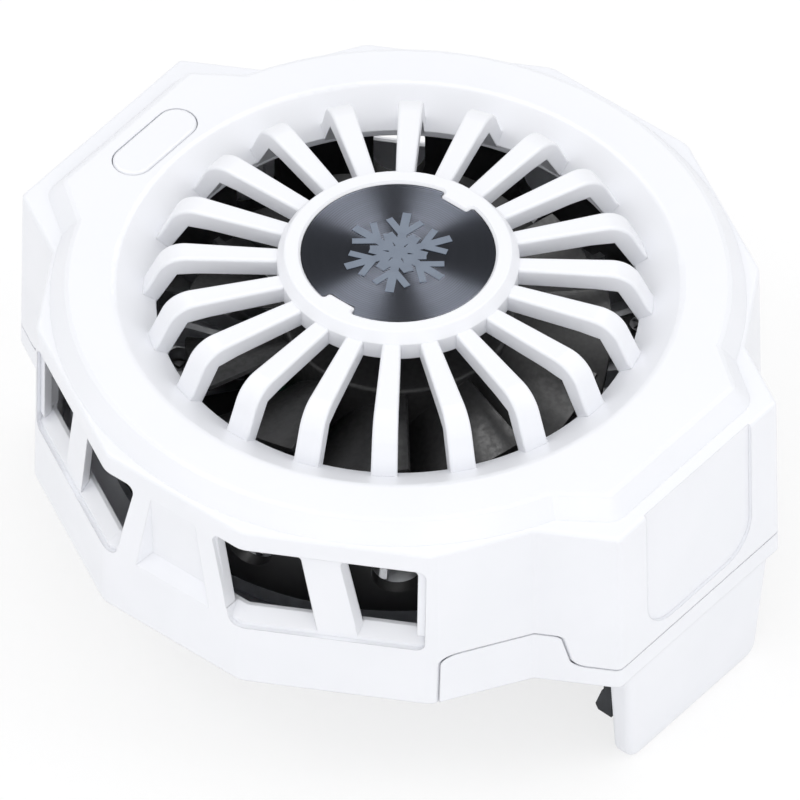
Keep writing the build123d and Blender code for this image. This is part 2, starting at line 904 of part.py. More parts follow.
with BuildPart() as base_shell:
    add(floor_slab)
    split_low_x = split_x - seam_gap
    plank(
        (-split_low_x - overrun, -outline_radius, base_z),
        (split_low_x, outline_radius, floor_top_z),
        mode=Mode.INTERSECT,
    )
    add(fixed_block)
    with BuildSketch(Plane.XY.offset(base_z - overrun)):
        RectangleRounded(plate_length + fit_gap * 2, plate_width + fit_gap * 2, plate_corner)
    extrude(amount=floor_thickness + overrun * 2, mode=Mode.SUBTRACT)
    for side in (-1, 1):
        for edge in (leg_inner - slide_gap - channel_wall, leg_outer + slide_gap):
            low_y, high_y = sorted((side * edge, side * (edge + channel_wall)))
            plank((channel_low_x, low_y, floor_top_z - fit_gap), (split_low_x, high_y, channel_top_z))
        low_y, high_y = sorted((side * leg_inner, side * leg_outer))
        anchor_low_x = spring_anchor_x - anchor_depth
        plank((anchor_low_x, low_y, floor_top_z - fit_gap), (spring_anchor_x, high_y, channel_top_z))
        with BuildSketch(Plane.YZ.offset(spring_anchor_x)):
            with Locations((side * leg_middle, leg_middle_z)):
                Circle(spring_post_radius)
        extrude(amount=spring_post)
    with Locations(*[(x, y, base_z) for x, y in boss_places]):
        head_space = screw_head_height + fit_gap
        Cylinder(
            screw_radius + fit_gap,
            floor_thickness * 2,
            mode=Mode.SUBTRACT,
        )
        Cylinder(base_screw_head + fit_gap, head_space * 2, mode=Mode.SUBTRACT)
finish(base_shell, "base_shell")

# Sliding clamp: the end block at +X with its two guide legs
with BuildPart() as leg_roots:
    for side in (-1, 1):
        low_y, high_y = sorted((side * leg_inner, side * leg_outer))
        plank((split_x, low_y, base_z), (leg_root_x, high_y, leg_top_z))
    add(outer_body, mode=Mode.INTERSECT)

with BuildPart() as clamp_carriage:
    add(end_block)
    add(leg_roots.part)
    for side in (-1, 1):
        low_y, high_y = sorted((side * leg_inner, side * leg_outer))
        plank((leg_end_x, low_y, leg_low_z), (split_x + fit_gap, high_y, leg_top_z))
        with BuildSketch(Plane.YZ.offset(leg_end_x)):
            with Locations((side * leg_middle, leg_middle_z)):
                Circle(spring_post_radius)
        extrude(amount=-spring_post)
finish(clamp_carriage, "clamp_carriage")

# Return springs, one in line with each leg
for side, name in ((-1, "return_spring_right"), (1, "return_spring_left")):
    spring_length = leg_end_x - spring_anchor_x - seat_gap * 2 - spring_wire
    spring_start = spring_anchor_x + seat_gap + spring_wire / 2
    with BuildPart() as return_spring:
        with BuildLine() as coil:
            Helix(
                pitch=spring_length / spring_turns,
                height=spring_length,
                radius=spring_radius,
                center=(spring_start, side * leg_middle, leg_middle_z),
                direction=(1, 0, 0),
            )
        with BuildSketch(Plane(origin=coil.line @ 0, z_dir=coil.line % 0)):
            Circle(spring_wire / 2)
        sweep(is_frenet=True)
    finish(return_spring, name)

# Rubber jaw pads
with BuildPart() as moving_pad:
    with BuildSketch(Plane.XZ) as pad_side:
        with BuildLine():
            Polyline(
                (jaw_inner_x, pad_low_z),
                (jaw_inner_x - pad_lip_reach + pad_nose, pad_lip_low_z),
                (jaw_inner_x - pad_lip_reach, pad_lip_z),
                (jaw_inner_x - pad_web - pad_notch, pad_web_z - pad_notch_height),
                (jaw_inner_x - pad_web, pad_web_z - pad_notch_height),
                (jaw_inner_x - pad_web, pad_top_z),
                (jaw_inner_x, pad_top_z),
                close=True,
            )
        make_face()
        nose = pad_side.vertices().group_by(Axis.X)[0]
        fillet(nose, pad_nose)
    extrude(amount=pad_half, both=True)
finish(moving_pad, "moving_jaw_pad")

with BuildPart() as fixed_pad:
    add(moving_pad.part.mirror(Plane.YZ))
finish(fixed_pad, "fixed_jaw_pad")

# Cooling stack, from the phone upwards
with BuildPart() as thermal_pad:
    with BuildSketch(Plane.XY.offset(base_z - thermal_pad_proud)):
        RectangleRounded(thermal_pad_length, thermal_pad_width, plate_corner)
    extrude(amount=thermal_pad_proud)
finish(thermal_pad, "thermal_pad")

with BuildPart() as cold_plate:
    with BuildSketch(Plane.XY.offset(base_z)):
        RectangleRounded(plate_length, plate_width, plate_corner)
    extrude(amount=floor_thickness)
    with BuildSketch(Plane.XY.offset(floor_top_z)):
        RectangleRounded(plate_flange_length, plate_flange_width, plate_corner)
    extrude(amount=plate_flange)
    with Locations(*[(x, y, cold_ceramic_z) for x, y in sink_screw_places]):
        Cylinder(screw_radius + bond_gap, screw_bite * 2, mode=Mode.SUBTRACT)
finish(cold_plate, "cold_plate")

for name, height in (("module_cold_ceramic", cold_ceramic_z), ("module_hot_ceramic", hot_ceramic_z)):
    with BuildPart() as ceramic:
        with Locations((0, 0, height + ceramic_thickness / 2)):
            Box(module_side, module_side, ceramic_thickness)
    finish(ceramic, name)

with BuildPart() as pellets:
    with Locations((0, 0, pellet_z + pellet_height / 2)):
        with GridLocations(pellet_pitch, pellet_pitch, pellet_rows, pellet_rows):
            Box(pellet_side, pellet_side, pellet_height)
finish(pellets, "module_pellets")

with BuildPart() as gasket:
    with BuildSketch(Plane.XY.offset(cold_ceramic_z)):
        Rectangle(gasket_length, gasket_width)
        Rectangle(module_side + gasket_gap * 2, module_side + gasket_gap * 2, mode=Mode.SUBTRACT)
    extrude(amount=sink_z - cold_ceramic_z)
finish(gasket, "insulating_gasket")

frame_post_places = [
    (
        frame_post_ring * cos(radians(arm_first_angle + turn * 360 / arm_count)),
        frame_post_ring * sin(radians(arm_first_angle + turn * 360 / arm_count)),
    )
    for turn in range(arm_count)
]
frame_screw_length = spider_z + spider_thickness - sink_top_z + screw_bite

with BuildPart() as heat_sink:
    ring(sink_radius, 0, sink_z, sink_top_z)
    with PolarLocations(0, fin_count):
        plank(
            (fin_inner_radius, -fin_thickness / 2, sink_top_z - fit_gap),
            (fin_outer_radius, fin_thickness / 2, sink_top_z + fin_height),
        )
    with Locations(*[(x, y, sink_top_z) for x, y in frame_post_places]):
        Cylinder(
            frame_post_radius + fit_gap * 2,
            fin_height + overrun,
            align=(Align.CENTER, Align.CENTER, Align.MIN),
            mode=Mode.SUBTRACT,
        )
        Cylinder(screw_radius + bond_gap, screw_bite * 2 + fit_gap, mode=Mode.SUBTRACT)
    with Locations(*[(x, y, sink_top_z) for x, y in sink_screw_places]):
        Cylinder(
            screw_head_radius + fit_gap * 2,
            fin_height + overrun,
            align=(Align.CENTER, Align.CENTER, Align.MIN),
            mode=Mode.SUBTRACT,
        )
        Cylinder(screw_radius + fit_gap, sink_plate * 2 + overrun, mode=Mode.SUBTRACT)
finish(heat_sink, "heat_sink")

# Fan frame: notched skirt, spider, posts and bearing tube
with BuildPart() as fan_frame:
    ring(sink_radius, sink_radius - skirt_thickness, sink_top_z, skirt_top_z)
    for turn in range(notch_count):
        direction = notch_first_angle + turn * 360 / notch_count
        outward = Vector(cos(radians(direction)), sin(radians(direction)), 0)
        across = Vector(-sin(radians(direction)), cos(radians(direction)), 0)
        notch_middle_z = (notch_low_z + notch_top_z) / 2
        centre = outward * (sink_radius - skirt_thickness - overrun) + Vector(0, 0, notch_middle_z)
        with BuildSketch(Plane(origin=centre, x_dir=across, z_dir=outward)):
            SlotOverall(notch_top_z - notch_low_z, notch_width, rotation=90)
        extrude(amount=skirt_thickness + overrun * 2, mode=Mode.SUBTRACT)
    ring(spider_radius, 0, spider_z, spider_z + spider_thickness)
    with PolarLocations(0, arm_count, start_angle=arm_first_angle):
        plank(
            (spider_radius - fit_gap, -arm_width / 2, spider_z),
            (sink_radius - skirt_thickness / 2, arm_width / 2, spider_z + spider_thickness),
        )
    with Locations(*[(x, y, sink_top_z) for x, y in frame_post_places]):
        post_height = spider_z + spider_thickness - sink_top_z
        Cylinder(frame_post_radius, post_height, align=(Align.CENTER, Align.CENTER, Align.MIN))
        Cylinder(
            screw_radius + bond_gap,
            post_height + overrun,
            align=(Align.CENTER, Align.CENTER, Align.MIN),
            mode=Mode.SUBTRACT,
        )
    ring(tube_radius, sleeve_radius, board_z, tube_top_z)
finish(fan_frame, "fan_frame")

# Motor: board, bearing, stator, windings, magnet, cup, shaft and bladed rotor
with BuildPart() as fan_board:
    ring(board_radius, tube_radius + fit_gap, board_z, board_top_z)
finish(fan_board, "fan_board")

with BuildPart() as bearing_sleeve:
    ring(sleeve_radius, bore_radius, board_z, tube_top_z)
finish(bearing_sleeve, "bearing_sleeve")

with BuildPart() as stator_core:
    ring(core_outer_radius, 0, core_low_z, core_low_z + core_height)
    with BuildSketch(Plane.XY.offset(core_low_z)):
        Circle(core_yoke_radius)
        with PolarLocations(0, pole_count):
            with Locations((core_outer_radius / 2, 0)):
                Rectangle(core_outer_radius, pole_width)
            with Locations((core_outer_radius - pole_shoe / 2, 0)):
                Rectangle(pole_shoe, pole_shoe_width)
        Circle(tube_radius + bond_gap, mode=Mode.SUBTRACT)
    extrude(amount=core_height, mode=Mode.INTERSECT)
finish(stator_core, "stator_core")

with BuildPart() as windings:
    coil_middle_z = core_low_z + core_height / 2
    with PolarLocations(0, pole_count):
        with Locations(((coil_inner_radius + coil_outer_radius) / 2, 0, coil_middle_z)):
            coil_length = coil_outer_radius - coil_inner_radius
            Box(coil_length, pole_width + coil_build * 2, core_height + coil_build * 2)
            Box(
                coil_length + fit_gap,
                pole_width + bond_gap * 2,
                core_height + bond_gap * 2,
                mode=Mode.SUBTRACT,
            )
finish(windings, "stator_windings")

with BuildPart() as magnet_ring:
    ring(magnet_radius, magnet_radius - magnet_wall, core_low_z, core_low_z + core_height + magnet_wall)
finish(magnet_ring, "magnet_ring")

with BuildPart() as rotor_cup:
    ring(cup_radius, magnet_radius + bond_gap, cup_low_z, cup_top_z)
    ring(cup_radius, shaft_radius + bond_gap, cup_top_z - cup_wall, cup_top_z)
finish(rotor_cup, "rotor_cup")

with BuildPart() as fan_shaft:
    ring(shaft_radius, 0, board_z + shaft_end_gap, cup_top_z - fit_gap)
finish(fan_shaft, "fan_shaft")


def blade_section(radius, chord, rise):
    """A cambered blade's section facing out along X, high at its leading edge."""
    slope = atan2(rise, chord)
    across = Vector(-sin(slope), cos(slope))
    low_end = Vector(-chord / 2, blade_low_z)
    high_end = Vector(chord / 2, blade_low_z + rise)
    middle = (low_end + high_end) / 2
    half = across * (blade_thickness / 2)
    tip = half / 2
    bow = across * blade_camber
    plane = Plane(origin=(radius, 0, 0), x_dir=(0, 1, 0), z_dir=(1, 0, 0))
    with BuildSketch(plane) as section:
        with BuildLine():
            upper = ThreePointArc(low_end + tip, middle + bow + half, high_end + tip)
            lower = ThreePointArc(high_end - tip, middle + bow - half, low_end - tip)
            Line(upper @ 1, lower @ 0)
            Line(lower @ 1, upper @ 0)
        make_face()
    return section.sketch.face()


blade_root_radius = hub_radius - rotor_hub_wall * 2.5
blade_faces = [
    blade_section(blade_root_radius, blade_root_chord, blade_root_rise),
    blade_section(blade_mid_radius, blade_mid_chord, (blade_root_rise + blade_tip_rise) / 2),
    blade_section(blade_tip_radius, blade_tip_chord, blade_tip_rise),
]
with BuildPart() as blade:
    loft(blade_faces)
    with BuildSketch(Plane.XY.offset(base_z)):
        Circle(blade_tip_radius)
    extrude(amount=wall_height, mode=Mode.INTERSECT)

with BuildPart() as impeller:
    ring(hub_radius, 0, rotor_hub_low_z, rotor_hub_top_z)
    fillet(impeller.edges().group_by(Axis.Z)[-1], rotor_hub_wall / 2)
    with PolarLocations(0, blade_count):
        add(blade.part)
    ring(cup_radius + bond_gap, 0, base_z, cup_top_z + bond_gap, mode=Mode.SUBTRACT)
finish(impeller, "impeller")

# Power button, its switch and the control board
flange_top_z = roof_z - fit_gap
flange_low_z = flange_top_z - button_flange_thickness
switch_low_z = control_z + control_thickness
switch_top_z = switch_low_z + switch_height
plunger_top_z = switch_top_z + plunger_proud
button_cap = slot_tool(button_length, button_width, flange_low_z, plateau_z + button_proud)
button_lip = slot_tool(
    button_length + button_flange * 2,
    button_width + button_flange * 2,
    flange_low_z,
    flange_top_z,
)
with BuildPart() as power_button:
    add(button_cap)
    fillet(power_button.edges().group_by(Axis.Z)[-1], button_round)
    add(button_lip)
    stem_half = button_stem_side / 2
    plank(
        (switch_x - stem_half, -stem_half, plunger_top_z + bond_gap),
        (switch_x + stem_half, stem_half, flange_low_z + fit_gap),
    )
finish(power_button, "power_button")

with BuildPart() as tact_switch:
    plank(
        (switch_x - switch_width / 2, -switch_length / 2, switch_low_z),
        (switch_x + switch_width / 2, switch_length / 2, switch_top_z),
    )
    with Locations((switch_x, 0, switch_low_z + switch_floor)):
        Cylinder(
            plunger_radius + fit_gap,
            switch_height,
            align=(Align.CENTER, Align.CENTER, Align.MIN),
            mode=Mode.SUBTRACT,
        )
        Cylinder(
            plunger_radius * 2,
            switch_height / 2,
            align=(Align.CENTER, Align.CENTER, Align.MIN),
            mode=Mode.SUBTRACT,
        )
finish(tact_switch, "tact_switch")

with BuildPart() as switch_plunger:
    plunger_low_z = switch_low_z + switch_floor + dome_rise + dome_thickness + fit_gap
    with Locations((switch_x, 0, plunger_low_z)):
        Cylinder(
            plunger_radius,
            plunger_top_z - plunger_low_z,
            align=(Align.CENTER, Align.CENTER, Align.MIN),
        )
finish(switch_plunger, "switch_plunger")

with BuildPart() as switch_dome:
    dome_foot_z = switch_low_z + switch_floor
    dome_half = plunger_radius * 2 - fit_gap
    with BuildSketch(Plane.XZ):
        with BuildLine():
            under = ThreePointArc(
                (-dome_half, dome_foot_z),
                (0, dome_foot_z + dome_rise),
                (dome_half, dome_foot_z),
            )
            over = ThreePointArc(
                (dome_half, dome_foot_z + dome_thickness),
                (0, dome_foot_z + dome_rise + dome_thickness),
                (-dome_half, dome_foot_z + dome_thickness),
            )
            Line(under @ 1, over @ 0)
            Line(over @ 1, under @ 0)
        make_face()
    extrude(amount=plunger_radius, both=True)
with BuildPart() as placed_dome:
    add(switch_dome.part.moved(Location((switch_x, 0, 0))))
finish(placed_dome, "switch_dome")

with BuildPart() as control_board:
    plank(
        (control_low_x, -control_length / 2, control_z),
        (control_high_x, control_length / 2, control_z + control_thickness),
    )
    with Locations(*[(x, y, control_z) for x, y in control_post_places]):
        Cylinder(screw_radius + fit_gap, control_thickness * 3, mode=Mode.SUBTRACT)
finish(control_board, "control_board")

socket_low_x = -(ear_tip_x - drafted_inset(socket_z) - end_recess - socket_inset)
with BuildPart() as usb_socket:
    with BuildSketch(Plane.YZ.offset(socket_low_x)):
        with Locations((0, socket_z)):
            SlotOverall(socket_width, socket_height)
    extrude(amount=socket_length)
    with BuildSketch(Plane.YZ.offset(socket_low_x)):
        with Locations((0, socket_z)):
            SlotOverall(socket_width - socket_wall * 2, socket_height - socket_wall * 2)
    extrude(amount=socket_length - socket_wall * 2, mode=Mode.SUBTRACT)
    plank(
        (socket_low_x + socket_tongue_set_back, -socket_tongue_width / 2, socket_z - socket_tongue / 2),
        (socket_low_x + socket_length - socket_wall, socket_tongue_width / 2, socket_z + socket_tongue / 2),
    )
finish(usb_socket, "usb_socket")

# Hub disc and snowflake badge
flake_face_z = disc_z + flake_proud
with BuildPart() as snowflake:
    with BuildSketch(Plane.XY.offset(flake_face_z - flake_depth)):
        with PolarLocations(0, 6):
            with Locations((flake_radius / 2, 0)):
                Rectangle(flake_radius, flake_stem)
            for place, length in flake_branch_places:
                for lean in (-flake_branch_angle, flake_branch_angle):
                    with Locations(Location((place, 0, 0), (0, 0, lean))):
                        with Locations((length / 2, 0)):
                            Rectangle(length, flake_branch)
    extrude(amount=flake_depth)
finish(snowflake, "snowflake_badge")

with BuildPart() as hub_disc:
    with BuildSketch(Plane.XY.offset(disc_z - disc_thickness)) as disc_face:
        disc_outline(fit_gap / 2)
        fillet(disc_face.vertices(), tab_round)
    extrude(amount=disc_thickness)
    add(snowflake.part, mode=Mode.SUBTRACT)
finish(hub_disc, "hub_disc")

# Screws, each kind in one group
plain_screw = screw(screw_bite + control_thickness, screw_head_radius)
sink_screw = screw(sink_plate + module_height + screw_bite, screw_head_radius)
frame_screw = screw(frame_screw_length, screw_head_radius)
base_screw = screw(base_screw_length, base_screw_head)

with BuildPart() as base_screws:
    with Locations(*[(x, y, base_z + screw_head_height) for x, y in boss_places]):
        add(base_screw.rotate(Axis.X, 180))
finish(base_screws, "base_screws")

with BuildPart() as control_screws:
    with Locations(*[(x, y, control_z) for x, y in control_post_places]):
        add(plain_screw.rotate(Axis.X, 180))
finish(control_screws, "control_board_screws")

with BuildPart() as sink_screws:
    with Locations(*[(x, y, sink_top_z) for x, y in sink_screw_places]):
        add(sink_screw)
finish(sink_screws, "heat_sink_screws")

with BuildPart() as frame_screws:
    with Locations(*[(x, y, spider_z + spider_thickness) for x, y in frame_post_places]):
        add(frame_screw)
finish(frame_screws, "fan_frame_screws")
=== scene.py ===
"""Finishes, small board parts and studio for a clip-on phone cooling fan.

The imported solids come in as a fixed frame, in metres. Z is up towards the round grille, +X is towards
the sliding jaw, and the phone lies under the base, between the two jaws.
"""
import logging
import math
from dataclasses import dataclass, field
from enum import Enum

import bmesh
import bpy
from mathutils import Matrix, Vector


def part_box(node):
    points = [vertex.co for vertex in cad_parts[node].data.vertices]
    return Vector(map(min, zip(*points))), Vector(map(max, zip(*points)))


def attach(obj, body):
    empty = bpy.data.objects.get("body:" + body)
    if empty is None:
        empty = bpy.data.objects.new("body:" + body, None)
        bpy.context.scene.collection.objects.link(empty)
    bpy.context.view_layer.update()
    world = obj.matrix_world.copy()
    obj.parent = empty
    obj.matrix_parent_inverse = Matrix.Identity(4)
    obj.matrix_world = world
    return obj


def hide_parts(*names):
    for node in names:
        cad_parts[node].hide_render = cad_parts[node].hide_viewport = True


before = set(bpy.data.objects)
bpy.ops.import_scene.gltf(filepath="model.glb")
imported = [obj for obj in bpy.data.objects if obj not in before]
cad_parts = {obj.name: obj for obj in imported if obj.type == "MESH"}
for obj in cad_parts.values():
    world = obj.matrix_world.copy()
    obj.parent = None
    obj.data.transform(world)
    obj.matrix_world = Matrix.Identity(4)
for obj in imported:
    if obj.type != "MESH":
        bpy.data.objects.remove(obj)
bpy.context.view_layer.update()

LOG = logging.getLogger("cooling_fan")
MM = 0.001
Colour = tuple[float, float, float]
Socket = bpy.types.NodeSocket


class Relief(Enum):
    """The fine relief that a surface shows, each drawn by a shader group of its own."""

    MOULDED = "moulded_grain"
    TURNED = "turned_grooves"
    DRAWN = "drawn_lines"
    CAST = "cast_skin"
    WOUND = "wound_wire"
    STACKED = "stacked_sheets"
    CELLS = "foam_cells"
    TRACES = "board_tracks"


@dataclass(frozen=True)
class Finish:
    """One surface finish, as a maker would specify it.

    The colour runs to the second colour over the relief's patches, and the gloss to its second value.
    """

    name: str
    colour: Colour
    second: Colour
    roughness: float
    second_roughness: float
    relief: Relief
    grain_mm: float
    patch_mm: float
    depth_mm: float
    metallic: float = 0.0
    specular: float = 0.5
    coat: float = 0.0
    coat_roughness: float = 0.1
    anisotropy: float = 0.0
    brushing: float = 0.25
    sheen: float = 0.0
    edge_mm: float = 0.0


WHITE_SHELL = Finish(
    "white_shell", (0.865, 0.876, 0.915), (0.850, 0.862, 0.900), 0.34, 0.40, Relief.MOULDED,
    0.16, 9.0, 0.0012, specular=0.36, coat=0.06, coat_roughness=0.22, edge_mm=0.16,
)
WHITE_BUTTON = Finish(
    "white_button", (0.870, 0.880, 0.915), (0.856, 0.867, 0.902), 0.30, 0.36, Relief.MOULDED,
    0.14, 5.0, 0.001, specular=0.36, coat=0.08, coat_roughness=0.2, edge_mm=0.1,
)
SPUN_DISC = Finish(
    "spun_metal", (0.026, 0.028, 0.034), (0.020, 0.022, 0.027), 0.16, 0.20, Relief.TURNED,
    0.065, 1.3, 0.0006, metallic=1.0, anisotropy=0.1,
)
BADGE_PRINT = Finish(
    "badge_print", (0.140, 0.176, 0.236), (0.122, 0.154, 0.210), 0.40, 0.50, Relief.TURNED,
    0.26, 1.2, 0.020, specular=0.45,
)
JAW_RUBBER = Finish(
    "black_rubber", (0.028, 0.031, 0.036), (0.020, 0.022, 0.026), 0.72, 0.86, Relief.MOULDED,
    0.11, 2.6, 0.006, specular=0.32, sheen=0.12, edge_mm=0.1,
)
BLADE_PLASTIC = Finish(
    "fan_blades", (0.026, 0.026, 0.027), (0.016, 0.016, 0.017), 0.36, 0.48, Relief.MOULDED,
    0.20, 0.60, 0.005, specular=0.5, edge_mm=0.1,
)
FRAME_PLASTIC = Finish(
    "black_frame", (0.018, 0.018, 0.019), (0.013, 0.013, 0.014), 0.42, 0.54, Relief.MOULDED,
    0.15, 4.0, 0.006, specular=0.4, edge_mm=0.08,
)
SWITCH_PLASTIC = Finish(
    "switch_body", (0.045, 0.045, 0.047), (0.034, 0.034, 0.036), 0.48, 0.60, Relief.MOULDED,
    0.07, 0.8, 0.003, specular=0.42,
)
SPRING_WIRE = Finish(
    "spring_steel", (0.46, 0.46, 0.47), (0.36, 0.36, 0.37), 0.22, 0.34, Relief.DRAWN,
    0.05, 1.0, 0.0015, metallic=1.0,
)
SILICONE = Finish(
    "thermal_silicone", (0.300, 0.330, 0.370), (0.272, 0.300, 0.340), 0.58, 0.72, Relief.CAST,
    0.35, 3.5, 0.008, specular=0.42, sheen=0.08, edge_mm=0.12,
)
COLD_PLATE = Finish(
    "plate_aluminium", (0.66, 0.67, 0.69), (0.58, 0.59, 0.61), 0.30, 0.42, Relief.DRAWN,
    0.09, 4.0, 0.002, metallic=1.0, edge_mm=0.08,
)
SINK_ALUMINIUM = Finish(
    "sink_aluminium", (0.56, 0.57, 0.59), (0.46, 0.47, 0.49), 0.42, 0.56, Relief.CAST,
    0.30, 2.4, 0.006, metallic=1.0, edge_mm=0.08,
)
FIRED_CERAMIC = Finish(
    "ceramic", (0.80, 0.80, 0.78), (0.74, 0.74, 0.72), 0.46, 0.58, Relief.CAST,
    0.18, 2.0, 0.003, specular=0.5, edge_mm=0.06,
)
PELLETS = Finish(
    "pellet_metal", (0.30, 0.31, 0.33), (0.20, 0.21, 0.23), 0.38, 0.60, Relief.CAST,
    0.16, 0.5, 0.008, metallic=1.0,
)
# the darker second colour is painted shade, laid into the hollows of the foam cells
GASKET_FOAM = Finish(
    "foam", (0.050, 0.050, 0.052), (0.020, 0.020, 0.021), 0.90, 0.96, Relief.CELLS,
    0.22, 0.22, 0.05, specular=0.2, sheen=0.2,
)
BOARD = Finish(
    "green_board", (0.010, 0.105, 0.068), (0.024, 0.165, 0.105), 0.30, 0.38, Relief.TRACES,
    0.85, 0.85, 0.012, specular=0.5, coat=0.4, coat_roughness=0.15,
)
BRASS = Finish(
    "brass", (0.66, 0.47, 0.20), (0.56, 0.39, 0.16), 0.26, 0.38, Relief.TURNED,
    0.08, 0.6, 0.001, metallic=1.0,
)
CORE_STEEL = Finish(
    "core_steel", (0.34, 0.34, 0.35), (0.14, 0.14, 0.15), 0.40, 0.62, Relief.STACKED,
    0.35, 0.35, 0.03, metallic=1.0,
)
# the darker second colour is painted shade, laid into the gaps between the wire turns
COPPER_WIRE = Finish(
    "copper_winding", (0.58, 0.22, 0.08), (0.22, 0.07, 0.025), 0.26, 0.46, Relief.WOUND,
    0.24, 0.24, 0.08, metallic=0.85, coat=0.5, coat_roughness=0.12,
)
FERRITE = Finish(
    "magnet", (0.070, 0.066, 0.062), (0.048, 0.045, 0.042), 0.66, 0.80, Relief.CAST,
    0.12, 1.4, 0.006, specular=0.35,
)
CUP_STEEL = Finish(
    "cup_steel", (0.54, 0.54, 0.55), (0.44, 0.44, 0.45), 0.26, 0.36, Relief.TURNED,
    0.12, 0.9, 0.0012, metallic=1.0, anisotropy=0.4,
)
SHAFT_STEEL = Finish(
    "shaft_steel", (0.62, 0.62, 0.63), (0.55, 0.55, 0.56), 0.14, 0.20, Relief.DRAWN,
    0.03, 0.8, 0.0006, metallic=1.0,
)
SOCKET_STEEL = Finish(
    "socket_steel", (0.58, 0.58, 0.59), (0.50, 0.50, 0.51), 0.22, 0.32, Relief.DRAWN,
    0.06, 1.6, 0.0015, metallic=1.0, edge_mm=0.05,
)
SCREW_STEEL = Finish(
    "screw_steel", (0.30, 0.30, 0.31), (0.22, 0.22, 0.23), 0.42, 0.54, Relief.TURNED,
    0.05, 0.5, 0.0015, metallic=1.0, edge_mm=0.04,
)


class NodeSheet:
    """A node tree being drawn, with short calls for the nodes that the finishes share."""

    def __init__(self, tree: bpy.types.NodeTree) -> None:
        """Starts on an empty tree."""
        self.tree = tree
        tree.nodes.clear()

    def node(self, kind: str, **settings: object) -> bpy.types.Node:
        """Adds a node.

        Args:
            kind: The node's Blender type, without the ShaderNode prefix.
            settings: Values for the node's own properties.

        Returns:
            The new node.
        """
        made = self.tree.nodes.new("ShaderNode" + kind)
        for name, value in settings.items():
            setattr(made, name, value)
        return made

    def feed(self, target: Socket, value: Socket | float | tuple[float, ...]) -> None:
        """Links a socket to the target, or sets the target to a plain value."""
        if isinstance(value, bpy.types.NodeSocket):
            self.tree.links.new(value, target)
        else:
            target.default_value = value

    def sum(self, operation: str, *values: Socket | float) -> Socket:
        """Works out one Math node.

        Args:
            operation: The Math node's operation.
            values: What it works on, in order.

        Returns:
            The socket with the result.
        """
        made = self.node("Math", operation=operation)
        for target, value in zip(made.inputs, values):
            self.feed(target, value)
        return made.outputs[0]

    def millimetres(self) -> Socket:
        """Returns the place on the object, in millimetres, in its own coordinates."""
        place = self.node("TexCoord").outputs["Object"]
        scaled = self.node("VectorMath", operation="SCALE")
        self.feed(scaled.inputs[0], place)
        scaled.inputs["Scale"].default_value = 1 / MM
        return scaled.outputs[0]

    def noise(self, place: Socket, size: Socket | float, detail: float = 2.0) -> Socket:
        """Adds a noise whose lumps are about as large as size.

        Args:
            place: The coordinates, in millimetres.
            size: The lumps' size in millimetres.
            detail: How many finer layers it has.

        Returns:
            The noise's value, about 0.5.
        """
        made = self.node("TexNoise")
        self.feed(made.inputs["Vector"], place)
        self.feed(made.inputs["Scale"], self.sum("DIVIDE", 1.0, size))
        made.inputs["Detail"].default_value = detail
        return made.outputs["Fac"]

    def spread(self, value: Socket, low: float, high: float) -> Socket:
        """Stretches the part of a value between low and high over 0 to 1, with clamped ends."""
        made = self.node("MapRange", interpolation_type="SMOOTHSTEP")
        self.feed(made.inputs["Value"], value)
        made.inputs["From Min"].default_value = low
        made.inputs["From Max"].default_value = high
        return made.outputs["Result"]

    def shade(self, mask: Socket, first: Colour, second: Colour) -> Socket:
        """Runs from the first colour to the second as the mask goes from 0 to 1."""
        made = self.node("Mix", data_type="RGBA")
        self.feed(made.inputs["Factor"], mask)
        colours = [s for s in made.inputs if s.type == "RGBA"]
        colours[0].default_value = (*first, 1.0)
        colours[1].default_value = (*second, 1.0)
        return [s for s in made.outputs if s.type == "RGBA"][0]


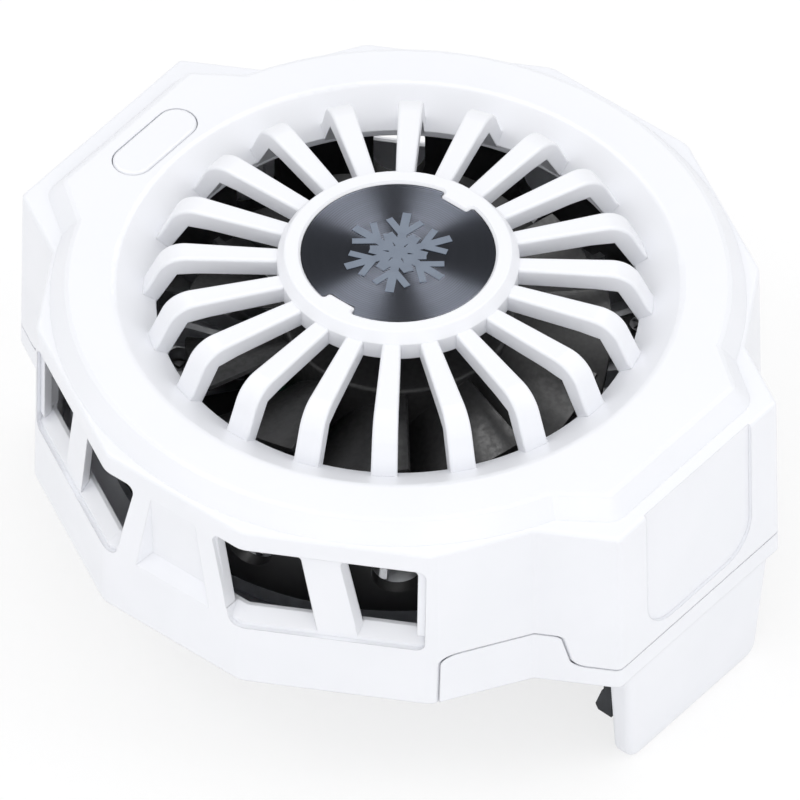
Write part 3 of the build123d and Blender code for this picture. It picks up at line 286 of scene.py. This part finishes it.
class ReliefGroups:
    """The shader groups for fine relief, each built once and placed in every finish that shows it.

    Every group takes Grain and Patch, both sizes in millimetres, and gives a Height and a Mask. Each span
    is the part of a value that is stretched over the whole mask.
    """

    soft_span = (0.32, 0.68)
    streak_span = (0.3, 0.7)
    # span of the painted shade in the gaps between wire turns
    wire_gap_shade_span = (0.55, 0.0)
    sheet_gap_span = (0.4, 0.0)
    # span of the painted shade in the hollows of the foam cells
    cell_shade_span = (0.6, 0.1)
    track_span = (0.1, 0.35)
    streak_stretch = (0.03, 1.0, 1.0)
    field_patches = 2.4
    tracks_in_field = 12.0
    fine_detail = 4.0
    grain_detail = 3.0

    def __init__(self) -> None:
        """Starts with no group drawn."""
        self.drawn: dict[Relief, bpy.types.NodeTree] = {}
        self.makers = {
            Relief.MOULDED: self._moulded,
            Relief.TURNED: self._turned,
            Relief.DRAWN: self._lines,
            Relief.CAST: self._cast,
            Relief.WOUND: self._wound,
            Relief.STACKED: self._stacked,
            Relief.CELLS: self._cells,
            Relief.TRACES: self._tracks,
        }

    def tree(self, relief: Relief) -> bpy.types.NodeTree:
        """Gives the group for a relief, and draws it at its first use.

        Args:
            relief: The relief that the group shows.

        Returns:
            The shader group.
        """
        if relief not in self.drawn:
            tree = bpy.data.node_groups.new(relief.value, "ShaderNodeTree")
            for name in ("Grain", "Patch"):
                tree.interface.new_socket(name, in_out="INPUT", socket_type="NodeSocketFloat")
            for name in ("Height", "Mask"):
                tree.interface.new_socket(name, in_out="OUTPUT", socket_type="NodeSocketFloat")
            sheet = NodeSheet(tree)
            entry = tree.nodes.new("NodeGroupInput")
            way_out = tree.nodes.new("NodeGroupOutput")
            height, mask = self.makers[relief](sheet, entry.outputs["Grain"], entry.outputs["Patch"])
            sheet.feed(way_out.inputs["Height"], height)
            sheet.feed(way_out.inputs["Mask"], mask)
            self.drawn[relief] = tree
        return self.drawn[relief]

    @staticmethod
    def _radius(sheet: NodeSheet, place: Socket) -> tuple[Socket, Socket]:
        """Splits a place into its distance from Z and its height, both in millimetres."""
        parts = sheet.node("SeparateXYZ")
        sheet.feed(parts.inputs[0], place)
        x, y, z = parts.outputs
        squares = sheet.sum("ADD", sheet.sum("MULTIPLY", x, x), sheet.sum("MULTIPLY", y, y))
        return sheet.sum("SQRT", squares), z

    @staticmethod
    def _ridges(sheet: NodeSheet, along: Socket, pitch: Socket) -> Socket:
        """Gives rounded ridges with sharp valleys, one to each pitch."""
        turns = sheet.sum("MULTIPLY", sheet.sum("DIVIDE", along, pitch), math.pi)
        return sheet.sum("ABSOLUTE", sheet.sum("SINE", turns))

    def _moulded(self, sheet: NodeSheet, grain: Socket, patch: Socket) -> tuple[Socket, Socket]:
        """Fine even grain from the tool's surface, over slow changes of tone."""
        place = sheet.millimetres()
        tone = sheet.spread(sheet.noise(place, patch), *self.soft_span)
        return sheet.noise(place, grain, self.grain_detail), tone

    def _turned(self, sheet: NodeSheet, grain: Socket, patch: Socket) -> tuple[Socket, Socket]:
        """Rings about Z, each a little deeper or shallower than the next."""
        radius, height = self._radius(sheet, sheet.millimetres())
        across = sheet.node("CombineXYZ")
        sheet.feed(across.inputs["X"], radius)
        sheet.feed(across.inputs["Y"], height)
        uneven = sheet.noise(across.outputs[0], patch, self.fine_detail)
        rings = self._ridges(sheet, sheet.sum("ADD", radius, height), grain)
        return sheet.sum("MULTIPLY", rings, uneven), sheet.spread(uneven, *self.streak_span)

    def _lines(self, sheet: NodeSheet, grain: Socket, patch: Socket) -> tuple[Socket, Socket]:
        """Long fine scratches along X, as drawing or rolling leaves them."""
        place = sheet.millimetres()
        drawn_out = sheet.node("VectorMath", operation="MULTIPLY")
        sheet.feed(drawn_out.inputs[0], place)
        drawn_out.inputs[1].default_value = self.streak_stretch
        fine = sheet.noise(drawn_out.outputs[0], grain, self.fine_detail)
        return fine, sheet.spread(sheet.noise(drawn_out.outputs[0], patch), *self.streak_span)

    def _cast(self, sheet: NodeSheet, grain: Socket, patch: Socket) -> tuple[Socket, Socket]:
        """Small soft pits and lumps, as cast and fired surfaces have."""
        place = sheet.millimetres()
        pits = sheet.node("TexVoronoi", feature="SMOOTH_F1")
        sheet.feed(pits.inputs["Vector"], place)
        sheet.feed(pits.inputs["Scale"], sheet.sum("DIVIDE", 1.0, grain))
        lumps = sheet.noise(place, patch, self.fine_detail)
        return sheet.sum("MULTIPLY", pits.outputs["Distance"], lumps), sheet.spread(lumps, *self.soft_span)

    def _wound(self, sheet: NodeSheet, grain: Socket, patch: Socket) -> tuple[Socket, Socket]:
        """Turns of round wire laid side by side round each pole, with painted shade darkening the gaps
        between them.
        """
        radius, _ = self._radius(sheet, sheet.millimetres())
        ridges = self._ridges(sheet, radius, grain)
        # the mask pulls the gaps between turns towards the darker second colour: painted shade
        return ridges, sheet.spread(self._ridges(sheet, radius, patch), *self.wire_gap_shade_span)

    def _stacked(self, sheet: NodeSheet, grain: Socket, patch: Socket) -> tuple[Socket, Socket]:
        """Thin sheets stacked along Z, with dark lines between them."""
        _, height = self._radius(sheet, sheet.millimetres())
        ridges = self._ridges(sheet, height, grain)
        return ridges, sheet.spread(self._ridges(sheet, height, patch), *self.sheet_gap_span)

    def _cells(self, sheet: NodeSheet, grain: Socket, patch: Socket) -> tuple[Socket, Socket]:
        """The closed cells of foam, with painted shade darkening their hollows."""
        cells = sheet.node("TexVoronoi", feature="F1")
        sheet.feed(cells.inputs["Vector"], sheet.millimetres())
        sheet.feed(cells.inputs["Scale"], sheet.sum("DIVIDE", 1.0, grain))
        # the mask pulls each cell's hollow towards the darker second colour: painted shade
        cell_shade = sheet.sum("MULTIPLY", cells.outputs["Distance"], sheet.sum("DIVIDE", patch, grain))
        return cells.outputs["Distance"], sheet.spread(cell_shade, *self.cell_shade_span)

    def _tracks(self, sheet: NodeSheet, grain: Socket, patch: Socket) -> tuple[Socket, Socket]:
        """Copper tracks under the board's lacquer, as raised lines on a lighter ground."""
        place = sheet.millimetres()
        fields = sheet.node("TexVoronoi", feature="F1", distance="CHEBYCHEV")
        sheet.feed(fields.inputs["Vector"], place)
        field_size = sheet.sum("MULTIPLY", patch, self.field_patches)
        sheet.feed(fields.inputs["Scale"], sheet.sum("DIVIDE", 1.0, field_size))
        turns = sheet.sum("MULTIPLY", fields.outputs["Distance"], self.tracks_in_field)
        wave = sheet.sum("SINE", sheet.sum("DIVIDE", turns, grain))
        tracks = sheet.spread(wave, *self.track_span)
        return tracks, tracks


class FinishShop:
    """Makes each finish into a material, once."""

    edge_samples = 4

    def __init__(self) -> None:
        """Starts with the relief groups and no material."""
        self.groups = ReliefGroups()
        self.made: dict[str, bpy.types.Material] = {}

    def material(self, finish: Finish) -> bpy.types.Material:
        """Gives a finish's material, and builds it at its first use.

        Args:
            finish: The finish to show.

        Returns:
            The material.
        """
        if finish.name not in self.made:
            self.made[finish.name] = self._build(finish)
        return self.made[finish.name]

    def _build(self, finish: Finish) -> bpy.types.Material:
        """Draws a finish's nodes.

        Args:
            finish: The finish to draw.

        Returns:
            The new material.
        """
        made = bpy.data.materials.new(finish.name)
        made.use_nodes = True
        made.diffuse_color = (*finish.colour, 1.0)
        sheet = NodeSheet(made.node_tree)
        shader = sheet.node("BsdfPrincipled")
        relief = made.node_tree.nodes.new("ShaderNodeGroup")
        relief.node_tree = self.groups.tree(finish.relief)
        relief.inputs["Grain"].default_value = finish.grain_mm
        relief.inputs["Patch"].default_value = finish.patch_mm
        mask = relief.outputs["Mask"]
        sheet.feed(shader.inputs["Base Color"], sheet.shade(mask, finish.colour, finish.second))
        gloss = sheet.node("MapRange")
        sheet.feed(gloss.inputs["Value"], mask)
        gloss.inputs["To Min"].default_value = finish.roughness
        gloss.inputs["To Max"].default_value = finish.second_roughness
        sheet.feed(shader.inputs["Roughness"], gloss.outputs["Result"])
        bump = sheet.node("Bump")
        bump.inputs["Distance"].default_value = finish.depth_mm * MM
        sheet.feed(bump.inputs["Height"], relief.outputs["Height"])
        if finish.edge_mm:
            edge = sheet.node("Bevel", samples=self.edge_samples)
            edge.inputs["Radius"].default_value = finish.edge_mm * MM
            sheet.feed(bump.inputs["Normal"], edge.outputs["Normal"])
        sheet.feed(shader.inputs["Normal"], bump.outputs["Normal"])
        shader.inputs["Metallic"].default_value = finish.metallic
        shader.inputs["Specular IOR Level"].default_value = finish.specular
        shader.inputs["Coat Weight"].default_value = finish.coat
        shader.inputs["Coat Roughness"].default_value = finish.coat_roughness
        shader.inputs["Sheen Weight"].default_value = finish.sheen
        if finish.anisotropy:
            shader.inputs["Anisotropic"].default_value = finish.anisotropy
            shader.inputs["Anisotropic Rotation"].default_value = finish.brushing
            tangent = sheet.node("Tangent", direction_type="RADIAL", axis="Z")
            sheet.feed(shader.inputs["Tangent"], tangent.outputs["Tangent"])
        way_out = sheet.node("OutputMaterial")
        sheet.feed(way_out.inputs["Surface"], shader.outputs["BSDF"])
        return made


@dataclass
class CadGroup:
    """A sub-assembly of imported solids, each dressed in its finish."""

    title: str
    dress: dict[str, Finish]

    def finish_nodes(self, shop: FinishShop) -> None:
        """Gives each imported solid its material.

        Args:
            shop: Where the materials come from.
        """
        for name, finish in self.dress.items():
            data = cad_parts[name].data
            material = shop.material(finish)
            if not data.materials:
                data.materials.append(material)
            for place in range(len(data.materials)):
                data.materials[place] = material
            LOG.info("%s: %s in %s", self.title, name, finish.name)


@dataclass
class Casing(CadGroup):
    """The moulded shell with its grille, the base and the button."""

    title: str = "casing"
    dress: dict[str, Finish] = field(default_factory=lambda: {
        "top_shell": WHITE_SHELL,
        "base_shell": WHITE_SHELL,
        "power_button": WHITE_BUTTON,
        "base_screws": SCREW_STEEL,
    })


@dataclass
class HubBadge(CadGroup):
    """The turned disc at the middle of the grille and the snowflake printed on it.

    The grooves' pitch and depth, the skim that the tool takes off the face, and the blank's margin
    round the disc are in millimetres. Segments is how many sides each groove has.
    """

    title: str = "hub badge"
    dress: dict[str, Finish] = field(default_factory=lambda: {
        "hub_disc": SPUN_DISC,
        "snowflake_badge": BADGE_PRINT,
    })
    pitch: float = 0.26
    groove: float = 0.032
    skim: float = 0.003
    margin: float = 0.2
    segments: int = 192

    def build_turned_face(self, shop: FinishShop) -> None:
        """Replaces the plain disc by one with its turned grooves cut into the face.

        Args:
            shop: Where the material comes from.
        """
        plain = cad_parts["hub_disc"]
        blank = self._blank()
        piece = bpy.data.objects.new("turned_hub_disc", plain.data.copy())
        bpy.context.scene.collection.objects.link(piece)
        cut = piece.modifiers.new("grooves", "BOOLEAN")
        cut.operation = "INTERSECT"
        cut.solver = "EXACT"
        cut.object = blank
        bpy.context.view_layer.update()
        seen = piece.evaluated_get(bpy.context.evaluated_depsgraph_get()).to_mesh()
        turned = bpy.data.meshes.new("turned_hub_disc")
        corners = [vertex.co.copy() for vertex in seen.vertices]
        turned.from_pydata(corners, [], [tuple(face.vertices) for face in seen.polygons])
        piece.modifiers.clear()
        piece.data = turned
        bpy.data.objects.remove(blank)
        turned.materials.append(shop.material(SPUN_DISC))
        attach(piece, "housing")
        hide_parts("hub_disc")
        LOG.info("%s: turned face of %d faces", self.title, len(turned.polygons))

    def _profile(self) -> list[tuple[float, float]]:
        """Draws half of the blank's section, from the middle of its foot to the middle of its face.

        Returns:
            The radius and height of each corner, in millimetres.
        """
        low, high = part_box("hub_disc")
        outer = high[0] / MM + self.margin
        top = high[2] / MM - self.skim
        bottom = low[2] / MM - self.margin
        profile = [(0.0, bottom), (outer, bottom)]
        steps = int(outer / (self.pitch / 2))
        for step in range(steps, 0, -1):
            profile.append((step * self.pitch / 2, top - self.groove * (step % 2)))
        profile.append((0.0, top))
        return profile

    def _blank(self) -> bpy.types.Object:
        """Turns the grooved blank that the disc is cut from, a little larger than the disc.

        Returns:
            The blank, about Z.
        """
        mesh = bmesh.new()
        turns = [math.tau * place / self.segments for place in range(self.segments)]
        rings = []
        for radius, height in self._profile():
            around = turns if radius else [0.0]
            rings.append([
                mesh.verts.new((radius * MM * math.cos(turn), radius * MM * math.sin(turn), height * MM))
                for turn in around
            ])
        for inner, outer_ring in zip(rings, rings[1:]):
            for place in range(self.segments):
                after = (place + 1) % self.segments
                corners = [inner[place % len(inner)], outer_ring[place % len(outer_ring)],
                           outer_ring[after % len(outer_ring)], inner[after % len(inner)]]
                mesh.faces.new(list(dict.fromkeys(corners)))
        bmesh.ops.recalc_face_normals(mesh, faces=mesh.faces[:])
        data = bpy.data.meshes.new("disc_blank")
        mesh.to_mesh(data)
        mesh.free()
        blank = bpy.data.objects.new("disc_blank", data)
        bpy.context.scene.collection.objects.link(blank)
        return blank


@dataclass
class Clamp(CadGroup):
    """The sliding jaw, its springs and the rubber pads of both jaws."""

    title: str = "clamp"
    dress: dict[str, Finish] = field(default_factory=lambda: {
        "clamp_carriage": WHITE_SHELL,
        "moving_jaw_pad": JAW_RUBBER,
        "fixed_jaw_pad": JAW_RUBBER,
        "return_spring_left": SPRING_WIRE,
        "return_spring_right": SPRING_WIRE,
    })


@dataclass
class FanUnit(CadGroup):
    """The fan: its frame, motor and impeller."""

    title: str = "fan"
    dress: dict[str, Finish] = field(default_factory=lambda: {
        "fan_frame": FRAME_PLASTIC,
        "impeller": BLADE_PLASTIC,
        "rotor_cup": CUP_STEEL,
        "magnet_ring": FERRITE,
        "fan_shaft": SHAFT_STEEL,
        "bearing_sleeve": BRASS,
        "stator_core": CORE_STEEL,
        "stator_windings": COPPER_WIRE,
        "fan_frame_screws": SCREW_STEEL,
    })


@dataclass
class CoolingStack(CadGroup):
    """What carries the phone's heat up to the fan."""

    title: str = "cooling stack"
    dress: dict[str, Finish] = field(default_factory=lambda: {
        "thermal_pad": SILICONE,
        "cold_plate": COLD_PLATE,
        "module_cold_ceramic": FIRED_CERAMIC,
        "module_hot_ceramic": FIRED_CERAMIC,
        "module_pellets": PELLETS,
        "insulating_gasket": GASKET_FOAM,
        "heat_sink": SINK_ALUMINIUM,
        "heat_sink_screws": SCREW_STEEL,
    })


@dataclass(frozen=True)
class ChipPlan:
    """A small packaged part: its board, where it stands on it, its size and its leads, in millimetres."""

    name: str
    board: str
    centre: tuple[float, float]
    size: tuple[float, float, float]
    turn: float
    leads: int


@dataclass
class Electronics(CadGroup):
    """The two boards, the switch and the charging socket, with the small parts soldered to the boards."""

    title: str = "electronics"
    dress: dict[str, Finish] = field(default_factory=lambda: {
        "fan_board": BOARD,
        "control_board": BOARD,
        "control_board_screws": SCREW_STEEL,
        "tact_switch": SWITCH_PLASTIC,
        "switch_plunger": SWITCH_PLASTIC,
        "switch_dome": SPRING_WIRE,
        "usb_socket": SOCKET_STEEL,
    })
    body_edge: float = 0.07
    lead_width: float = 0.22
    lead_thickness: float = 0.1
    lead_reach: float = 0.32
    lead_edge: float = 0.02
    cap_edge: float = 0.03
    cap_share: float = 0.2
    chips: tuple[ChipPlan, ...] = (
        ChipPlan("fan_driver_chip", "fan_board", (0.0, -13.2), (2.2, 1.5, 0.62), 0.0, 3),
        ChipPlan("fan_sense_chip", "fan_board", (12.7, 3.4), (1.5, 1.2, 0.58), 105.0, 2),
        ChipPlan("fan_capacitor", "fan_board", (-12.6, -3.6), (1.6, 0.8, 0.7), 74.0, 0),
        ChipPlan("fan_resistor_a", "fan_board", (-8.4, 10.1), (1.0, 0.5, 0.35), 40.0, 0),
        ChipPlan("fan_resistor_b", "fan_board", (8.9, 9.7), (1.0, 0.5, 0.35), -42.0, 0),
        ChipPlan("control_chip", "control_board", (-33.2, 5.4), (2.6, 2.2, 0.8), 0.0, 4),
        ChipPlan("control_capacitor", "control_board", (-33.0, -4.9), (1.6, 0.8, 0.75), 90.0, 0),
        ChipPlan("control_resistor_a", "control_board", (-34.9, -5.2), (1.0, 0.5, 0.35), 90.0, 0),
        ChipPlan("control_resistor_b", "control_board", (-31.4, -5.6), (1.0, 0.5, 0.35), 90.0, 0),
    )

    def build_chips(self, shop: FinishShop) -> None:
        """Builds each small part and fixes it to the housing.

        Args:
            shop: Where the materials come from.
        """
        for plan in self.chips:
            piece = self._chip(plan)
            piece.data.materials.append(shop.material(SWITCH_PLASTIC))
            piece.data.materials.append(shop.material(SOCKET_STEEL))
            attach(piece, "housing")
            LOG.info("%s: built %s", self.title, plan.name)

    def _chip(self, plan: ChipPlan) -> bpy.types.Object:
        """Builds one part as a bevelled body, with bent leads or with a metal cap at each end.

        Args:
            plan: The part's place, size and leads.

        Returns:
            The new object, standing on its board.
        """
        mesh = bmesh.new()
        middle = (0, 0, (self.lead_thickness + plan.size[2]) / 2)
        self._block(mesh, middle, plan.size, self.body_edge, 0)
        if plan.leads:
            self._leads(mesh, plan)
        else:
            self._caps(mesh, plan)
        x, y = plan.centre
        board_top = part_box(plan.board)[1][2]
        turn = Matrix.Rotation(math.radians(plan.turn), 4, "Z")
        mesh.transform(Matrix.Translation((x * MM, y * MM, board_top)) @ turn @ Matrix.Scale(MM, 4))
        data = bpy.data.meshes.new(plan.name)
        mesh.to_mesh(data)
        mesh.free()
        piece = bpy.data.objects.new(plan.name, data)
        bpy.context.scene.collection.objects.link(piece)
        return piece

    def _leads(self, mesh: bmesh.types.BMesh, plan: ChipPlan) -> None:
        """Adds the bent leads along both long sides, each as a foot, an upright and an arm.

        Args:
            mesh: The part's mesh, in millimetres.
            plan: The part's size and leads.
        """
        length, width, height = plan.size
        thickness, reach = self.lead_thickness, self.lead_reach
        lift = thickness / 2
        knee = height / 2 + lift
        pitch = length / plan.leads
        for side in (-1, 1):
            for place in range(plan.leads):
                x = (place + 0.5) * pitch - length / 2
                bends = (
                    (reach, lift, (self.lead_width, reach, thickness)),
                    (reach / 2, knee / 2, (self.lead_width, thickness, knee)),
                    (reach / 4, knee, (self.lead_width, reach / 2 + thickness, thickness)),
                )
                for out, z, size in bends:
                    self._block(mesh, (x, side * (width / 2 + out), z), size, self.lead_edge, 1)

    def _caps(self, mesh: bmesh.types.BMesh, plan: ChipPlan) -> None:
        """Adds the metal cap at each end of a part without leads.

        Args:
            mesh: The part's mesh, in millimetres.
            plan: The part's size.
        """
        length, width, height = plan.size
        lift = self.lead_thickness / 2
        cap = length * self.cap_share
        for side in (-1, 1):
            middle = (side * (length - cap) / 2, 0, lift + height / 2)
            self._block(mesh, middle, (cap, width + lift, height + lift), self.cap_edge, 1)

    @staticmethod
    def _block(mesh: bmesh.types.BMesh, centre: tuple[float, float, float],
               size: tuple[float, float, float], edge: float, slot: int) -> None:
        """Adds a block with bevelled edges to a mesh.

        Args:
            mesh: The mesh to add to, in millimetres.
            centre: The block's middle.
            size: Its size along X, Y and Z.
            edge: The width of the bevel.
            slot: The material slot of its faces.
        """
        before = set(mesh.faces)
        place = Matrix.Translation(centre) @ Matrix.Diagonal((*size, 1.0))
        corners = bmesh.ops.create_cube(mesh, size=1.0, matrix=place)["verts"]
        edges = list({e for v in corners for e in v.link_edges})
        bmesh.ops.bevel(mesh, geom=edges, offset=edge, segments=2, profile=0.5, affect="EDGES")
        for face in set(mesh.faces) - before:
            face.material_index = slot
            face.smooth = False


@dataclass(frozen=True)
class Softbox:
    """A soft lamp: where it hangs, its size, its power, and whether only glossy surfaces show it."""

    name: str
    place: tuple[float, float, float]
    size: tuple[float, float]
    power: float
    sheen_only: bool = False


@dataclass
class Studio:
    """The pale floor, the soft light and the camera at the photograph's angle.

    Angles are in degrees, the lens and sensor in millimetres, and every other length in metres.
    """

    elevation: float = 45.25
    azimuth: float = 39.2
    distance: float = 2.941
    lens: float = 1323.45
    sensor: float = 36.0
    nearest: float = 0.05
    farthest: float = 20.0
    target_height: float = 0.0403
    target_right: float = 0.00018
    target_up: float = -0.014744
    aim: tuple[float, float, float] = (0.0, 0.0, 0.02)
    floor_reach: float = 3.0
    floor_sides: int = 96
    floor_tone: float = 0.86
    floor_lift: float = 0.7
    world_tone: float = 0.88
    lamps: tuple[Softbox, ...] = (
        Softbox("right_softbox", (0.636, 0.389, 0.936), (0.5, 0.5), 1.6),
        Softbox("left_softbox", (-0.404, -0.539, 0.996), (0.5, 0.5), 1.6),
        Softbox("front_fill", (0.80, -0.91, 0.40), (1.1, 0.7), 2.3),
        Softbox("back_sheen", (-0.068, 0.549, 1.064), (0.34, 0.34), 5.0, True),
        Softbox("side_sheen", (-0.482, 0.174, 1.085), (0.34, 0.34), 5.0, True),
    )

    def build(self) -> None:
        """Sets up the camera, the floor, the world and the lamps."""
        self._camera()
        self._floor()
        self._world()
        for lamp in self.lamps:
            self._lamp(lamp)
        bpy.context.scene.view_settings.view_transform = "Standard"
        LOG.info("studio: %d lamps", len(self.lamps))

    def _camera(self) -> None:
        """Places the camera where the photograph was taken from."""
        tilt = math.radians(self.elevation)
        turn = math.radians(self.azimuth)
        right = Vector((math.cos(turn), math.sin(turn), 0.0))
        back = Vector((math.sin(turn) * math.cos(tilt), -math.cos(turn) * math.cos(tilt), math.sin(tilt)))
        up = back.cross(right)
        target = Vector((0.0, 0.0, self.target_height)) + right * self.target_right + up * self.target_up
        data = bpy.data.cameras.new("photo_camera")
        data.sensor_fit = "HORIZONTAL"
        data.sensor_width = self.sensor
        data.lens = self.lens
        data.clip_start = self.nearest
        data.clip_end = self.farthest
        camera = bpy.data.objects.new("photo_camera", data)
        turned = Matrix((right, up, back)).transposed().to_4x4()
        camera.matrix_world = Matrix.Translation(target + back * self.distance) @ turned
        bpy.context.scene.collection.objects.link(camera)
        bpy.context.scene.camera = camera

    def _floor(self) -> None:
        """Lays the pale floor under the jaw tips."""
        mesh = bmesh.new()
        bmesh.ops.create_circle(mesh, cap_ends=True, radius=self.floor_reach, segments=self.floor_sides)
        data = bpy.data.meshes.new("studio_floor")
        mesh.to_mesh(data)
        mesh.free()
        floor = bpy.data.objects.new("studio_floor", data)
        bpy.context.scene.collection.objects.link(floor)
        made = bpy.data.materials.new("studio_floor")
        made.use_nodes = True
        sheet = NodeSheet(made.node_tree)
        seen = self._seen_rays(sheet)
        paper = sheet.node("BsdfDiffuse")
        tone = (self.floor_tone,) * 3
        sheet.feed(paper.inputs["Color"], sheet.shade(seen, tone, (1.0, 1.0, 1.0)))
        lift = sheet.node("Emission")
        mix = sheet.node("MixShader")
        sheet.feed(mix.inputs["Fac"], sheet.sum("MULTIPLY", seen, self.floor_lift))
        sheet.feed(mix.inputs[1], paper.outputs["BSDF"])
        sheet.feed(mix.inputs[2], lift.outputs["Emission"])
        way_out = sheet.node("OutputMaterial")
        sheet.feed(way_out.inputs["Surface"], mix.outputs["Shader"])
        floor.data.materials.append(made)

    @staticmethod
    def _seen_rays(sheet: NodeSheet) -> Socket:
        """Gives 1 for rays from the camera and those seen in metal and glass, and 0 for the rest."""
        path = sheet.node("LightPath").outputs
        mirrored = sheet.sum("MAXIMUM", path["Is Glossy Ray"], path["Is Transmission Ray"])
        return sheet.sum("MAXIMUM", path["Is Camera Ray"], mirrored)

    def _world(self) -> None:
        """Makes the room white to the eye and a soft even light to the object."""
        world = bpy.data.worlds.new("white_room")
        world.use_nodes = True
        sheet = NodeSheet(world.node_tree)
        seen = self._seen_rays(sheet)
        tone = (self.world_tone,) * 3
        room = sheet.node("Background")
        sheet.feed(room.inputs["Color"], sheet.shade(seen, tone, (1.0, 1.0, 1.0)))
        way_out = sheet.node("OutputWorld")
        sheet.feed(way_out.inputs["Surface"], room.outputs["Background"])
        bpy.context.scene.world = world

    def _lamp(self, plan: Softbox) -> None:
        """Hangs one softbox, turned to the object.

        Args:
            plan: Its place, size and power.
        """
        data = bpy.data.lights.new(plan.name, "AREA")
        data.shape = "RECTANGLE"
        data.size, data.size_y = plan.size
        data.energy = plan.power
        lamp = bpy.data.objects.new(plan.name, data)
        lamp.location = plan.place
        lamp.visible_diffuse = not plan.sheen_only
        towards = Vector(self.aim) - Vector(plan.place)
        lamp.rotation_euler = towards.to_track_quat("-Z", "Y").to_euler()
        bpy.context.scene.collection.objects.link(lamp)


def main() -> None:
    """Builds the studio and dresses every sub-assembly in turn."""
    logging.basicConfig(level=logging.INFO, format="%(message)s")
    Studio().build()
    shop = FinishShop()
    badge = HubBadge()
    electronics = Electronics()
    for group in (Casing(), badge, Clamp(), FanUnit(), CoolingStack(), electronics):
        group.finish_nodes(shop)
    badge.build_turned_face(shop)
    electronics.build_chips(shop)


if __name__ == "__main__":
    main()
